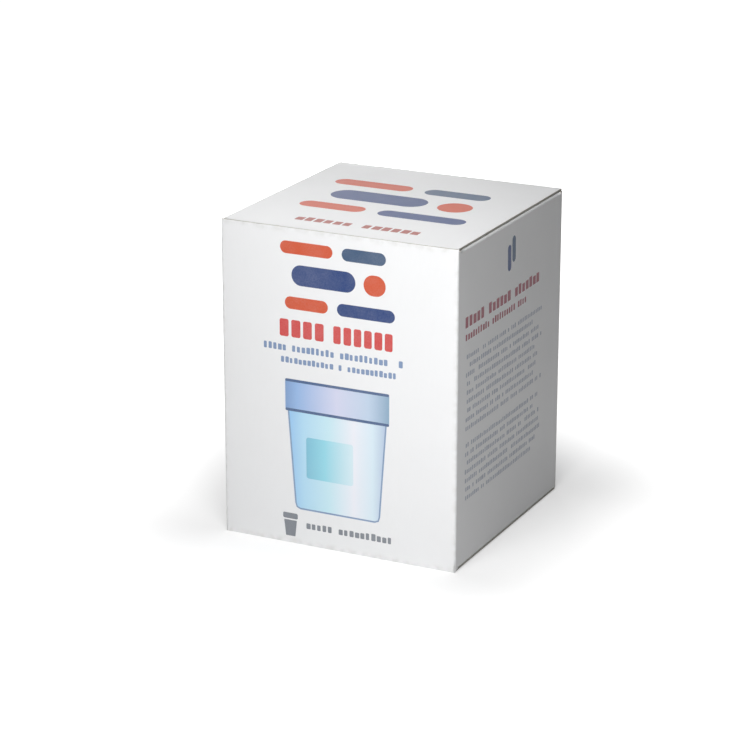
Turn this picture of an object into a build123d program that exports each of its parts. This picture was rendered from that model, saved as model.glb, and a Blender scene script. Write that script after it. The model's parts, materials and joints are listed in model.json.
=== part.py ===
from build123d import *
from math import atan, cos, degrees, radians, sin, sqrt, tan
import os

# A folding carton with tucked ends, and the screw-capped specimen container that stands in it.
# Millimetres. +Z is up, the front panel faces -Y, and the origin is under the middle of the base.
# The carton is sized round the container, from the board and the named clearances.

# Container
cap_diameter = 62.0
cap_height = 18.0
container_height = 73.5
wall_draft = 3.2  # degrees that the cup's side leans outwards

# Cup
cup_wall = 1.1
cup_floor = 1.4
foot_recess = 1.0
foot_ring_width = 2.4
foot_chamfer = 1.2
floor_chamfer = 1.8
rim_chamfer = 0.25
bead_height = 1.4
bead_step = 1.2  # how far the bead under the cap stands out from the cup's side
bead_chamfer = 0.5

# Cap
cap_top = 1.5
cap_skirt_wall = 1.0
cap_edge_chamfer = 0.6
cap_panel_recess = 0.5
cap_panel_border = 3.2
upper_band_height = 2.6
lower_band_height = 2.2
band_step = 0.45  # how far the bands stand out from the skirt between the ribs
grip_rib_depth = 0.35
grip_rib_width = 1.6
grip_rib_crest = 0.8
grip_rib_count = 54
plug_wall = 0.9
plug_depth = 3.2
plug_chamfer = 0.3

# Fits between the cap and the cup
thread_room = 0.75
plug_clearance = 0.12
skirt_gap = 0.6  # between the skirt's lower edge and the bead

# Label on the cup
label_width = 20.6
label_height = 22.5
label_bottom = 18.9
label_corner = 1.5
label_thickness = 0.12
glue_film = 0.05

# Board and folds
board = 0.5
fold_radius = 0.7  # outside of a fold
side_clearance = 2.5  # between the cap and each side of the carton
headroom = 10.5  # between the cap and the upper dust flaps
lid_gap = 0.15  # between a lid and the panels and dust flaps behind it

# Glue flap
glue_flap_width = 12.0
glue_flap_end_gap = 2.0
glue_flap_slope = 5.0
seam_setback = 0.3  # of the left panel's raw edge from the fold behind it

# Dust flaps
dust_flap_depth = 26.0
dust_flap_shoulder = 9.0
dust_flap_relief = 1.5
dust_flap_front_taper = 3.5
dust_flap_rear_taper = 6.5
dust_flap_corner = 4.0
dust_flap_rear_gap = 1.0

# Lids
lid_side_gap = 0.4
tuck_gap = 0.3  # between the tuck flap and the front panel
tuck_swing_gap = 0.15  # between the tip of the tuck flap and the front panel, as it swings past
tuck_tip_gap = 0.5  # between the tip of the tuck flap and the top of the cap
tuck_dust_gap = 0.3  # between the swinging tuck flap and the dust flaps
tuck_shoulder_inset = 0.6
tuck_side_taper = 1.2
tuck_corner = 7.0
slit_length = 7.0
slit_width = 0.3

# Overall sizes of the carton
carton_width = cap_diameter + 2 * (side_clearance + board)
carton_depth = carton_width
end_stack = 2 * board + lid_gap  # a lid, its gap and a dust flap
carton_height = container_height + headroom + 2 * end_stack
half_width = carton_width / 2
half_depth = carton_depth / 2
mid_height = Plane.XY.offset(carton_height / 2)
wall_top = carton_height - board - lid_gap  # of the side and back panels, at their creases
bend = fold_radius - board / 2  # middle of the board in a fold

# Lid hinge: the lid turns in the middle of the board's thickness, at the crease on the back panel
hinge_y = half_depth - board / 2
hinge_z = carton_height - board / 2

# Tuck flap: it leans inwards just enough for its tip to swing out past the front panel
front_reach = hinge_y - (board - half_depth)  # from the hinge to the front panel's inner face
tuck_reach = front_reach - tuck_gap
tuck_drop = hinge_z - (end_stack + container_height + tuck_tip_gap)
tip_reach = sqrt((front_reach - tuck_swing_gap) ** 2 - tuck_drop**2)
tuck_lean = atan((tuck_reach - tip_reach) / tuck_drop)
tuck_length = (tuck_drop - board / 2 * sin(tuck_lean)) / cos(tuck_lean)
tuck_fold_y = hinge_y - tuck_reach + board / 2 / cos(tuck_lean)
tuck_tip = (tuck_fold_y + tuck_length * sin(tuck_lean), hinge_z - tuck_length * cos(tuck_lean))
lid_width = carton_width - 2 * lid_side_gap

# Dust flaps start behind the path of the tuck flap's inner face
dust_flap_front = hinge_y - (tuck_reach * cos(tuck_lean) - board) + tuck_dust_gap
dust_flap_rear = half_depth - board - dust_flap_rear_gap


# Upper dust flap on the right, with its fold from the side panel
with BuildPart() as dust_flap:
    crease_x = half_width - fold_radius
    shoulder_x = half_width - dust_flap_shoulder
    tip_x = half_width - dust_flap_depth
    relief_y = dust_flap_front + dust_flap_relief
    with BuildSketch(Plane.XY.offset(wall_top - board)) as flap_outline:
        with BuildLine():
            Polyline(
                (crease_x, dust_flap_front),
                (shoulder_x, dust_flap_front),
                (shoulder_x - dust_flap_relief, relief_y),
                (tip_x, relief_y + dust_flap_front_taper),
                (tip_x, dust_flap_rear - dust_flap_rear_taper),
                (crease_x, dust_flap_rear),
                close=True,
            )
        make_face()
        fillet(flap_outline.vertices().group_by(Axis.X)[0], dust_flap_corner)
    extrude(amount=board)
    with BuildSketch(Plane.XZ.offset(-dust_flap_rear)):
        with BuildLine():
            CenterArc((crease_x, wall_top - fold_radius), bend, 0, 90)
        trace(line_width=board)
    extrude(amount=dust_flap_rear - dust_flap_front)


# Carton body: one blank folded round, glued inside the left panel, with a dust flap at each end of each side
with BuildPart() as carton_body:
    glue_flap_x = board - half_width  # its glued face
    with BuildSketch(mid_height):
        with BuildLine():
            FilletPolyline(
                (board / 2 - half_width, half_depth - fold_radius - seam_setback),
                (board / 2 - half_width, board / 2 - half_depth),
                (half_width - board / 2, board / 2 - half_depth),
                (half_width - board / 2, half_depth - board / 2),
                (0, half_depth - board / 2),
                radius=bend,
            )
        trace(line_width=board)
        with BuildLine():
            FilletPolyline(
                (0, half_depth - board / 2),
                (glue_flap_x + board / 2, half_depth - board / 2),
                (glue_flap_x + board / 2, half_depth - board - glue_flap_width),
                radius=bend,
            )
        trace(line_width=board)
    extrude(amount=carton_height / 2)

    # The glue flap's end slopes down from the back panel
    glue_flap_top = wall_top - glue_flap_end_gap
    with BuildSketch(Plane.YZ.offset(glue_flap_x)):
        with BuildLine():
            Polyline(
                (half_depth - board, glue_flap_top),
                (half_depth - board - glue_flap_width, glue_flap_top - glue_flap_slope),
                (half_depth - board - glue_flap_width, carton_height),
                (half_depth - board, carton_height),
                close=True,
            )
        make_face()
    extrude(amount=board, mode=Mode.SUBTRACT)

    # Only the front panel reaches the full height
    with BuildSketch(Plane.XY.offset(wall_top)):
        with Locations((0, board / 2)):
            Rectangle(carton_width, carton_depth - board)
    extrude(amount=board + lid_gap, mode=Mode.SUBTRACT)

    # Each side panel folds into its dust flap
    with BuildSketch(Plane.XY.offset(wall_top)):
        with Locations((0, (dust_flap_front + dust_flap_rear) / 2)):
            with GridLocations(carton_width - board, 0, 2, 1):
                Rectangle(board, dust_flap_rear - dust_flap_front)
    extrude(amount=-fold_radius, mode=Mode.SUBTRACT)
    add(dust_flap.part)
    mirror(dust_flap.part, about=Plane.YZ)

    # The lower end is folded like the upper one
    mirror(about=mid_height)
carton_body.part.label = "carton_body"


# Top lid: panel, fold and tuck flap, with a rounded edge at its hinge
with BuildPart() as top_lid:
    with BuildSketch(Plane.YZ.offset(-lid_width / 2)):
        with BuildLine():
            FilletPolyline((hinge_y, hinge_z), (tuck_fold_y, hinge_z), tuck_tip, radius=bend)
        trace(line_width=board)
        with Locations((hinge_y, hinge_z)):
            Circle(board / 2)
    extrude(amount=lid_width)

    # Outline of the tuck flap
    tuck_face = Plane(
        origin=(0, tuck_fold_y, hinge_z),
        x_dir=(1, 0, 0),
        z_dir=(0, -cos(tuck_lean), -sin(tuck_lean)),
    )
    shoulder_drop = (board + slit_width) / 2
    shoulder_half = lid_width / 2 - tuck_shoulder_inset
    tip_half = shoulder_half - tuck_side_taper
    with BuildSketch(tuck_face) as tuck_trim:
        with Locations((0, -shoulder_drop)):
            Rectangle(lid_width, 2 * tuck_length, align=(Align.CENTER, Align.MAX))
        with BuildLine():
            Polyline(
                (-shoulder_half, -shoulder_drop),
                (-tip_half, -tuck_length),
                (tip_half, -tuck_length),
                (shoulder_half, -shoulder_drop),
                close=True,
            )
        make_face(mode=Mode.SUBTRACT)
    extrude(amount=board, both=True, mode=Mode.SUBTRACT)
    tip_corners = top_lid.edges().filter_by(lambda e: abs(e.length - board) < board / 10).group_by(Axis.Z)[0]
    fillet(tip_corners, min(tuck_corner, (tuck_length - shoulder_drop) / 2))

    # Slits that free the ends of the tuck flap from the panel
    with BuildSketch(Plane.XY.offset(carton_height - board)):
        with Locations((0, tuck_fold_y)):
            with GridLocations(lid_width - slit_length, 0, 2, 1):
                Rectangle(slit_length, 2 * fold_radius)
    extrude(amount=-slit_width, mode=Mode.SUBTRACT)
top_lid.part.label = "top_lid"


# Bottom lid: the same, at the lower end of the back panel
with BuildPart() as bottom_lid:
    mirror(top_lid.part, about=mid_height)
bottom_lid.part.label = "bottom_lid"


# The container stands on the lower dust flaps
container_base = Plane.XZ.shift_origin((0, 0, end_stack))
cap_radius = cap_diameter / 2
cap_core_radius = cap_radius - band_step
skirt_bore = cap_core_radius - cap_skirt_wall
neck_radius = skirt_bore - thread_room
neck_bore = neck_radius - cup_wall
skirt_bottom = container_height - cap_height
cap_underside = container_height - cap_top
bead_top = skirt_bottom - skirt_gap
bead_bottom = bead_top - bead_height
draft = tan(radians(wall_draft))
foot_radius = neck_radius - draft * bead_bottom
floor_top = foot_recess + cup_floor
floor_radius = neck_bore - draft * (bead_bottom - floor_top)

# Cup: turned about its middle, from the foot ring up to the rim
with BuildPart() as specimen_cup:
    with BuildSketch(container_base) as cup_section:
        with BuildLine():
            Polyline(
                (0, foot_recess),
                (foot_radius - foot_ring_width, foot_recess),
                (foot_radius - foot_ring_width, 0),
                (foot_radius, 0),
                (neck_radius, bead_bottom),
                (neck_radius + bead_step - bead_chamfer, bead_bottom),
                (neck_radius + bead_step, bead_bottom + bead_chamfer),
                (neck_radius + bead_step, bead_top),
                (neck_radius, bead_top),
                (neck_radius, cap_underside),
                (neck_bore, cap_underside),
                (neck_bore, bead_bottom),
                (floor_radius, floor_top),
                (0, floor_top),
                close=True,
            )
        make_face()
        chamfer(cup_section.vertices().sort_by_distance((foot_radius, 0))[0], foot_chamfer)
        chamfer(cup_section.vertices().sort_by_distance((floor_radius, floor_top))[0], floor_chamfer)
        chamfer(cup_section.vertices().group_by(Axis.Y)[-1], rim_chamfer)
    revolve(axis=Axis.Z)
specimen_cup.part.label = "specimen_cup"


# Section of a grip rib, rooted in the skirt
with BuildSketch() as grip_rib:
    with BuildLine():
        Polyline(
            (-cap_skirt_wall / 2, -grip_rib_width / 2),
            (0, -grip_rib_width / 2),
            (grip_rib_depth, -grip_rib_crest / 2),
            (grip_rib_depth, grip_rib_crest / 2),
            (0, grip_rib_width / 2),
            (-cap_skirt_wall / 2, grip_rib_width / 2),
            close=True,
        )
    make_face()

# Screw cap: skirt with grip ribs between two bands, and a plug ring that seals the cup's mouth
with BuildPart() as screw_cap:
    plug_radius = neck_bore - plug_clearance
    rib_top = container_height - upper_band_height
    rib_bottom = skirt_bottom + lower_band_height
    panel_radius = cap_radius - cap_panel_border
    with BuildSketch(container_base) as cap_section:
        with BuildLine():
            Polyline(
                (0, cap_underside),
                (plug_radius - plug_wall, cap_underside),
                (plug_radius - plug_wall, cap_underside - plug_depth),
                (plug_radius - plug_chamfer, cap_underside - plug_depth),
                (plug_radius, cap_underside - plug_depth + plug_chamfer),
                (plug_radius, cap_underside),
                (skirt_bore, cap_underside),
                (skirt_bore, skirt_bottom),
                (cap_radius, skirt_bottom),
                (cap_radius, rib_bottom),
                (cap_core_radius, rib_bottom),
                (cap_core_radius, rib_top),
                (cap_radius, rib_top),
                (cap_radius, container_height),
                (panel_radius, container_height),
                (panel_radius - cap_panel_recess, container_height - cap_panel_recess),
                (0, container_height - cap_panel_recess),
                close=True,
            )
        make_face()
        chamfer(cap_section.vertices().sort_by_distance((cap_radius, container_height))[0], cap_edge_chamfer)
    revolve(axis=Axis.Z)
    with BuildSketch(Plane.XY.offset(end_stack + rib_bottom)):
        with PolarLocations(cap_core_radius, grip_rib_count):
            add(grip_rib.sketch)
    extrude(amount=rib_top - rib_bottom)
screw_cap.part.label = "screw_cap"


# Label: a rounded patch of paper, curved round the front of the cup
with BuildPart() as cup_label:
    label_top = label_bottom + label_height
    lower_radius = foot_radius + draft * label_bottom + glue_film
    upper_radius = foot_radius + draft * label_top + glue_film
    with BuildSketch(container_base):
        with BuildLine():
            Polyline(
                (lower_radius, label_bottom),
                (lower_radius + label_thickness, label_bottom),
                (upper_radius + label_thickness, label_top),
                (upper_radius, label_top),
                close=True,
            )
        make_face()
    revolve(axis=Axis.Z)
    with BuildSketch(container_base):
        with Locations((0, (label_bottom + label_top) / 2)):
            RectangleRounded(label_width, label_height, label_corner)
    extrude(amount=cap_radius, mode=Mode.INTERSECT)
cup_label.part.label = "cup_label"


os.makedirs("parts", exist_ok=True)
export_step(carton_body.part, "parts/carton_body.step")
export_step(top_lid.part, "parts/top_lid.step")
export_step(bottom_lid.part, "parts/bottom_lid.step")
export_step(specimen_cup.part, "parts/specimen_cup.step")
export_step(screw_cap.part, "parts/screw_cap.step")
export_step(cup_label.part, "parts/cup_label.step")

print("carton", carton_width, carton_depth, carton_height)
print("lid hinge at y", hinge_y, "z", hinge_z, "and", carton_height - hinge_z)
print("tuck flap leans", degrees(tuck_lean), "degrees, its tip at", tuck_tip)
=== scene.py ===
import json
import logging
import math
from collections.abc import Iterable
from dataclasses import dataclass, field
from enum import Enum
from typing import Any

import bmesh
import bpy
from mathutils import Matrix, Vector
from mathutils.bvhtree import BVHTree


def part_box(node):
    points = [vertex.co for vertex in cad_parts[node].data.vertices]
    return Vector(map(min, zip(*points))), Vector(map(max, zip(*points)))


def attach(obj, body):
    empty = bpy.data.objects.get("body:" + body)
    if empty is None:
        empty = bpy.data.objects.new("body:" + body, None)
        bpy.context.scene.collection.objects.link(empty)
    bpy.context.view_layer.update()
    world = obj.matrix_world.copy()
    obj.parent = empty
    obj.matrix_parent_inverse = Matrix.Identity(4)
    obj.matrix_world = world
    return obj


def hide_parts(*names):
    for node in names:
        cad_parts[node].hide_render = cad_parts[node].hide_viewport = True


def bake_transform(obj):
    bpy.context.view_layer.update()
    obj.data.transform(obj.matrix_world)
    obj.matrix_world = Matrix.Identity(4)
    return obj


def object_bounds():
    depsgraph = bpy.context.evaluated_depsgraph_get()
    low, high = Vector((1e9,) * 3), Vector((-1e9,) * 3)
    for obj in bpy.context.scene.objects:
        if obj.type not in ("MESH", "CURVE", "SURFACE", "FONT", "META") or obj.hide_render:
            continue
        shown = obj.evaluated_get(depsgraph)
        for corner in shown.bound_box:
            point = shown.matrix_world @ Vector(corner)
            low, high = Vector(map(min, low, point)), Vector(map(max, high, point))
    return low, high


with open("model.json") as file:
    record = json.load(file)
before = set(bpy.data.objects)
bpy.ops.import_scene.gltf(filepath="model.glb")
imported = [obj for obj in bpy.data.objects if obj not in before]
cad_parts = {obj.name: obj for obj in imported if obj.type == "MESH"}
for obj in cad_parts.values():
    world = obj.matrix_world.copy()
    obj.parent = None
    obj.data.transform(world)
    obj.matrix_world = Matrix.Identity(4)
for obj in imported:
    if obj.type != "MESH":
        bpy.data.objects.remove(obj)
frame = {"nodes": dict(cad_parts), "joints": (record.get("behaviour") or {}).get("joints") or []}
CAD_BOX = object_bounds()

# A printed folding carton with tucked ends, and the screw-capped cup that stands in it.
# Metres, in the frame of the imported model. Sizes of the print and of the cup's relief are in millimetres.

MM = 0.001
GRID_CELL = 4 * MM  # the board and its print are cut on this grid, so that they bow as one
LOG = logging.getLogger("carton")

Colour = tuple[float, float, float]
Point2 = tuple[float, float]


def linear(colour: Colour) -> tuple[float, float, float, float]:
    """Turns a display colour into the linear colour that a shader takes.

    Args:
        colour: Red, green and blue from 0 to 1, as they look on a screen.

    Returns:
        The linear colour with a full alpha.
    """
    return tuple(c / 12.92 if c <= 0.04045 else ((c + 0.055) / 1.055) ** 2.4 for c in colour) + (1.0,)


class NodeSketch:
    """Adds nodes to one tree and joins them."""

    def __init__(self, tree: bpy.types.NodeTree) -> None:
        """Keeps the tree that the nodes go into."""
        self.tree = tree

    def add(self, kind: str, inputs: dict[str | int, Any] | None = None, **settings: Any) -> bpy.types.Node:
        """Adds one node.

        Args:
            kind: Blender's name for the type of node.
            inputs: A value or an output socket for each input, by the input's name or number.
            settings: Properties of the node, such as its operation.

        Returns:
            The new node.
        """
        node = self.tree.nodes.new(kind)
        for name, value in settings.items():
            setattr(node, name, value)
        for key, value in (inputs or {}).items():
            if isinstance(value, bpy.types.NodeSocket):
                self.tree.links.new(value, node.inputs[key])
            else:
                node.inputs[key].default_value = value
        return node

    def maths(self, operation: str, a: Any, b: Any = 0.0) -> bpy.types.NodeSocket:
        """Adds a Math node.

        Args:
            operation: Name of the operation.
            a: First value or socket.
            b: Second value or socket.

        Returns:
            The result's socket.
        """
        return self.add("ShaderNodeMath", {0: a, 1: b}, operation=operation).outputs[0]

    def blend_colour(self, share: Any, a: Any, b: Any) -> bpy.types.NodeSocket:
        """Adds a colour mix.

        Args:
            share: How much of b shows, as a value or a socket.
            a: First colour or socket.
            b: Second colour or socket.

        Returns:
            The mixed colour's socket.
        """
        mix = self.add("ShaderNodeMix", {0: share, 6: a, 7: b}, data_type="RGBA")
        return mix.outputs[2]

    def spread(self, value: Any, low: float, high: float) -> bpy.types.NodeSocket:
        """Maps a mask from 0 to 1 onto another range.

        Args:
            value: The mask's socket.
            low: What 0 becomes.
            high: What 1 becomes.

        Returns:
            The mapped value's socket.
        """
        return self.add("ShaderNodeMapRange", {"Value": value, "To Min": low, "To Max": high}).outputs[0]


class Effect(Enum):
    """Surface effects that several finishes share, each a shader node group."""

    FIBRE = "board_fibre"
    HANDLING = "handling_wear"
    SCREEN = "ink_screen"
    MOULDED = "moulded_skin"


class EffectShelf:
    """Builds each shared shader group once and places it in materials."""

    def __init__(self) -> None:
        """Starts with no group built."""
        self.groups: dict[Effect, bpy.types.NodeTree] = {}
        self.makers = {
            Effect.FIBRE: self._make_fibre,
            Effect.HANDLING: self._make_handling,
            Effect.SCREEN: self._make_screen,
            Effect.MOULDED: self._make_moulded,
        }

    def place(self, sketch: NodeSketch, effect: Effect, **inputs: Any) -> bpy.types.Node:
        """Places an effect in a material's tree.

        Args:
            sketch: The material's nodes.
            effect: Which effect.
            inputs: Values or sockets for the group's inputs, with underscores for spaces.

        Returns:
            The group node.
        """
        if effect not in self.groups:
            self.groups[effect] = self.makers[effect]()
        node = sketch.add("ShaderNodeGroup", node_tree=self.groups[effect])
        for name, value in inputs.items():
            socket = node.inputs[name.replace("_", " ")]
            if isinstance(value, bpy.types.NodeSocket):
                sketch.tree.links.new(value, socket)
            else:
                socket.default_value = value
        return node

    @staticmethod
    def _open(effect: Effect, inputs: dict[str, float], outputs: Iterable[str]) -> tuple:
        """Opens a new group with a vector input, number inputs and number outputs.

        Args:
            effect: The effect, whose value names the group.
            inputs: Names of the number inputs with their defaults.
            outputs: Names of the number outputs.

        Returns:
            The tree, its nodes, and its input and output nodes.
        """
        tree = bpy.data.node_groups.new(effect.value, "ShaderNodeTree")
        tree.interface.new_socket(name="Vector", in_out="INPUT", socket_type="NodeSocketVector")
        for name, default in inputs.items():
            socket = tree.interface.new_socket(name=name, in_out="INPUT", socket_type="NodeSocketFloat")
            socket.default_value = default
        for name in outputs:
            tree.interface.new_socket(name=name, in_out="OUTPUT", socket_type="NodeSocketFloat")
        sketch = NodeSketch(tree)
        return tree, sketch, sketch.add("NodeGroupInput"), sketch.add("NodeGroupOutput")

    def _make_fibre(self) -> bpy.types.NodeTree:
        """Builds the mottle and the matted fibres of paper board."""
        tree, sketch, given, result = self._open(
            Effect.FIBRE, {"Fibre Scale": 2600.0, "Cloud Scale": 90.0}, ("Mottle", "Height")
        )
        stretched = sketch.add(
            "ShaderNodeVectorMath", {0: given.outputs["Vector"], 1: (1.0, 1.0, 0.22)}, operation="MULTIPLY"
        )
        fibres = sketch.add(
            "ShaderNodeTexNoise",
            {"Vector": stretched.outputs[0], "Scale": given.outputs["Fibre Scale"], "Detail": 3.0},
        )
        clouds = sketch.add(
            "ShaderNodeTexNoise",
            {"Vector": given.outputs["Vector"], "Scale": given.outputs["Cloud Scale"], "Detail": 4.0},
        )
        mottle = sketch.maths("ADD", sketch.maths("MULTIPLY", fibres.outputs["Fac"], 0.45),
                              sketch.maths("MULTIPLY", clouds.outputs["Fac"], 0.55))
        tree.links.new(mottle, result.inputs["Mottle"])
        tree.links.new(fibres.outputs["Fac"], result.inputs["Height"])
        return tree

    def _make_handling(self) -> bpy.types.NodeTree:
        """Builds the scuffing that gathers along the edges of a box that stands on z = 0."""
        half = (CAD_BOX[1] - CAD_BOX[0]) / 2
        sizes = {"Half Width": half.x, "Half Depth": half.y, "Box Height": CAD_BOX[1].z, "Reach": 2 * MM}
        tree, sketch, given, result = self._open(Effect.HANDLING, sizes, ("Wear",))
        place = sketch.add("ShaderNodeSeparateXYZ", {0: given.outputs["Vector"]})
        from_side = sketch.maths(
            "SUBTRACT", given.outputs["Half Width"], sketch.maths("ABSOLUTE", place.outputs["X"])
        )
        from_front = sketch.maths(
            "SUBTRACT", given.outputs["Half Depth"], sketch.maths("ABSOLUTE", place.outputs["Y"])
        )
        from_top = sketch.maths("SUBTRACT", given.outputs["Box Height"], place.outputs["Z"])
        from_end = sketch.maths("MINIMUM", place.outputs["Z"], from_top)
        # On a panel the smallest of the three is about nothing, so the middle one is the way to the nearest edge
        middle = sketch.maths(
            "MAXIMUM",
            sketch.maths("MINIMUM", from_side, from_front),
            sketch.maths("MINIMUM", sketch.maths("MAXIMUM", from_side, from_front), from_end),
        )
        near = sketch.add(
            "ShaderNodeMapRange",
            {"Value": middle, "From Min": given.outputs["Reach"], "From Max": 0.0},
            interpolation_type="SMOOTHSTEP",
        )
        breakup = sketch.add(
            "ShaderNodeTexNoise", {"Vector": given.outputs["Vector"], "Scale": 420.0, "Detail": 5.0}
        )
        patchy = sketch.add(
            "ShaderNodeMapRange", {"Value": breakup.outputs["Fac"], "From Min": 0.42, "From Max": 0.66}
        )
        tree.links.new(
            sketch.maths("MULTIPLY", near.outputs[0], patchy.outputs[0]), result.inputs["Wear"]
        )
        return tree

    def _make_screen(self) -> bpy.types.NodeTree:
        """Builds the unevenness of printed ink: a fine grain over slow drifts of strength."""
        tree, sketch, given, result = self._open(
            Effect.SCREEN, {"Grain Scale": 3200.0, "Drift Scale": 160.0}, ("Thin", "Height")
        )
        grain = sketch.add(
            "ShaderNodeTexNoise",
            {"Vector": given.outputs["Vector"], "Scale": given.outputs["Grain Scale"], "Detail": 2.0},
        )
        drift = sketch.add(
            "ShaderNodeTexNoise",
            {"Vector": given.outputs["Vector"], "Scale": given.outputs["Drift Scale"], "Detail": 3.0},
        )
        thin = sketch.maths("MULTIPLY", grain.outputs["Fac"], drift.outputs["Fac"])
        tree.links.new(thin, result.inputs["Thin"])
        tree.links.new(grain.outputs["Fac"], result.inputs["Height"])
        return tree

    def _make_moulded(self) -> bpy.types.NodeTree:
        """Builds the faint sink and grain of a moulded plastic skin."""
        tree, sketch, given, result = self._open(
            Effect.MOULDED, {"Grain Scale": 1500.0, "Sink Scale": 60.0}, ("Cloud", "Height")
        )
        grain = sketch.add(
            "ShaderNodeTexNoise",
            {"Vector": given.outputs["Vector"], "Scale": given.outputs["Grain Scale"], "Detail": 2.0},
        )
        sink = sketch.add(
            "ShaderNodeTexNoise",
            {"Vector": given.outputs["Vector"], "Scale": given.outputs["Sink Scale"], "Detail": 2.0},
        )
        height = sketch.maths("ADD", sketch.maths("MULTIPLY", grain.outputs["Fac"], 0.3), sink.outputs["Fac"])
        tree.links.new(sink.outputs["Fac"], result.inputs["Cloud"])
        tree.links.new(height, result.inputs["Height"])
        return tree


EFFECTS = EffectShelf()


def open_material(name: str) -> tuple[bpy.types.Material, NodeSketch, bpy.types.Node, bpy.types.NodeSocket]:
    """Starts a node material.

    Args:
        name: The material's name.

    Returns:
        The material, its nodes, its Principled shader and its Object coordinates.
    """
    material = bpy.data.materials.new(name)
    material.use_nodes = True
    material.node_tree.nodes.clear()
    sketch = NodeSketch(material.node_tree)
    shader = sketch.add("ShaderNodeBsdfPrincipled")
    sketch.add("ShaderNodeOutputMaterial", {"Surface": shader.outputs[0]})
    return material, sketch, shader, sketch.add("ShaderNodeTexCoord").outputs["Object"]


@dataclass(frozen=True)
class BoardFinish:
    """One side of the carton board.

    The thin parts of the sheet show the second colour, and the scuffed edges the third.
    """

    name: str
    colour: Colour
    second_colour: Colour
    worn_colour: Colour
    mottle: float
    wear: float
    smoothest: float
    roughest: float
    relief: float
    fibre_scale: float
    shine: float = 0.5

    def material(self) -> bpy.types.Material:
        """Builds the material: colour, roughness and relief from the fibre and the handling."""
        material, sketch, shader, place = open_material(self.name)
        fibre = EFFECTS.place(sketch, Effect.FIBRE, Vector=place, Fibre_Scale=self.fibre_scale)
        handling = EFFECTS.place(sketch, Effect.HANDLING, Vector=place)
        mottle = sketch.maths("MULTIPLY", fibre.outputs["Mottle"], self.mottle)
        wear = sketch.maths("MULTIPLY", handling.outputs["Wear"], self.wear)
        sheet = sketch.blend_colour(mottle, linear(self.colour), linear(self.second_colour))
        colour = sketch.blend_colour(wear, sheet, linear(self.worn_colour))
        rough = sketch.maths(
            "MAXIMUM", sketch.spread(fibre.outputs["Mottle"], self.smoothest, self.roughest), wear
        )
        bump = sketch.add(
            "ShaderNodeBump", {"Height": fibre.outputs["Height"], "Distance": self.relief, "Strength": 0.6}
        )
        sketch.tree.links.new(colour, shader.inputs["Base Color"])
        sketch.tree.links.new(rough, shader.inputs["Roughness"])
        sketch.tree.links.new(bump.outputs[0], shader.inputs["Normal"])
        shader.inputs["Specular IOR Level"].default_value = self.shine
        return material


@dataclass(frozen=True)
class Ink:
    """A flat printed colour."""

    name: str
    colour: Colour
    thinning: float = 0.24
    roughness: float = 0.42
    rougher_by: float = 0.2
    shine: float = 0.28
    paper: Colour = (0.93, 0.93, 0.93)

    def material(self, span: tuple[Vector, Vector] | None = None) -> bpy.types.Material:
        """Builds the material.

        Args:
            span: Where a shade that changes across the patch starts and ends. A flat ink has none.

        Returns:
            The material.
        """
        material, sketch, shader, place = open_material(self.name)
        screen = EFFECTS.place(sketch, Effect.SCREEN, Vector=place)
        thin = sketch.maths("MULTIPLY", screen.outputs["Thin"], self.thinning)
        colour = sketch.blend_colour(thin, self.full_colour(sketch, place, span), linear(self.paper))
        bump = sketch.add(
            "ShaderNodeBump", {"Height": screen.outputs["Height"], "Distance": 2e-6, "Strength": 0.4}
        )
        sketch.tree.links.new(colour, shader.inputs["Base Color"])
        rough = sketch.spread(screen.outputs["Thin"], self.roughness, self.roughness + self.rougher_by)
        sketch.tree.links.new(rough, shader.inputs["Roughness"])
        sketch.tree.links.new(bump.outputs[0], shader.inputs["Normal"])
        shader.inputs["Specular IOR Level"].default_value = self.shine
        return material

    def full_colour(self, sketch: NodeSketch, place: bpy.types.NodeSocket, span: Any) -> Any:
        """Gives the colour of the ink where it is thickest."""
        return linear(self.colour)


@dataclass(frozen=True)
class ShadedInk(Ink):
    """A printed shade that runs across its patch through several tones."""

    tones: tuple[tuple[float, Colour], ...] = ()

    def full_colour(self, sketch: NodeSketch, place: bpy.types.NodeSocket, span: Any) -> Any:
        """Gives the ramp of tones along the span.

        Args:
            sketch: The material's nodes.
            place: Its Object coordinates.
            span: The points where the ramp starts and ends.

        Returns:
            The colour's socket.
        """
        start, end = span
        way = end - start
        offset = sketch.add("ShaderNodeVectorMath", {0: place, 1: start}, operation="SUBTRACT")
        along = sketch.add(
            "ShaderNodeVectorMath",
            {0: offset.outputs[0], 1: way / way.length_squared},
            operation="DOT_PRODUCT",
        )
        ramp = sketch.add("ShaderNodeValToRGB", {0: along.outputs["Value"]})
        stops = ramp.color_ramp.elements
        while len(stops) < len(self.tones):
            stops.new(1.0)
        for stop, (position, colour) in zip(stops, self.tones):
            stop.position = position
            stop.color = linear(colour)
        return ramp.outputs["Color"]


@dataclass(frozen=True)
class PlasticFinish:
    """Moulded polypropylene, clear or solid."""

    name: str
    colour: Colour
    deep_colour: Colour
    roughness: float
    clearness: float = 0.0
    relief: float = 6e-6
    rougher_by: float = 0.14
    ior: float = 1.49

    def material(self) -> bpy.types.Material:
        """Builds the material."""
        material, sketch, shader, place = open_material(self.name)
        skin = EFFECTS.place(sketch, Effect.MOULDED, Vector=place)
        colour = sketch.blend_colour(skin.outputs["Cloud"], linear(self.colour), linear(self.deep_colour))
        bump = sketch.add(
            "ShaderNodeBump", {"Height": skin.outputs["Height"], "Distance": self.relief, "Strength": 0.5}
        )
        sketch.tree.links.new(colour, shader.inputs["Base Color"])
        rough = sketch.spread(skin.outputs["Cloud"], self.roughness, self.roughness + self.rougher_by)
        sketch.tree.links.new(rough, shader.inputs["Roughness"])
        sketch.tree.links.new(bump.outputs[0], shader.inputs["Normal"])
        shader.inputs["Transmission Weight"].default_value = self.clearness
        shader.inputs["IOR"].default_value = self.ior
        return material


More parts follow.
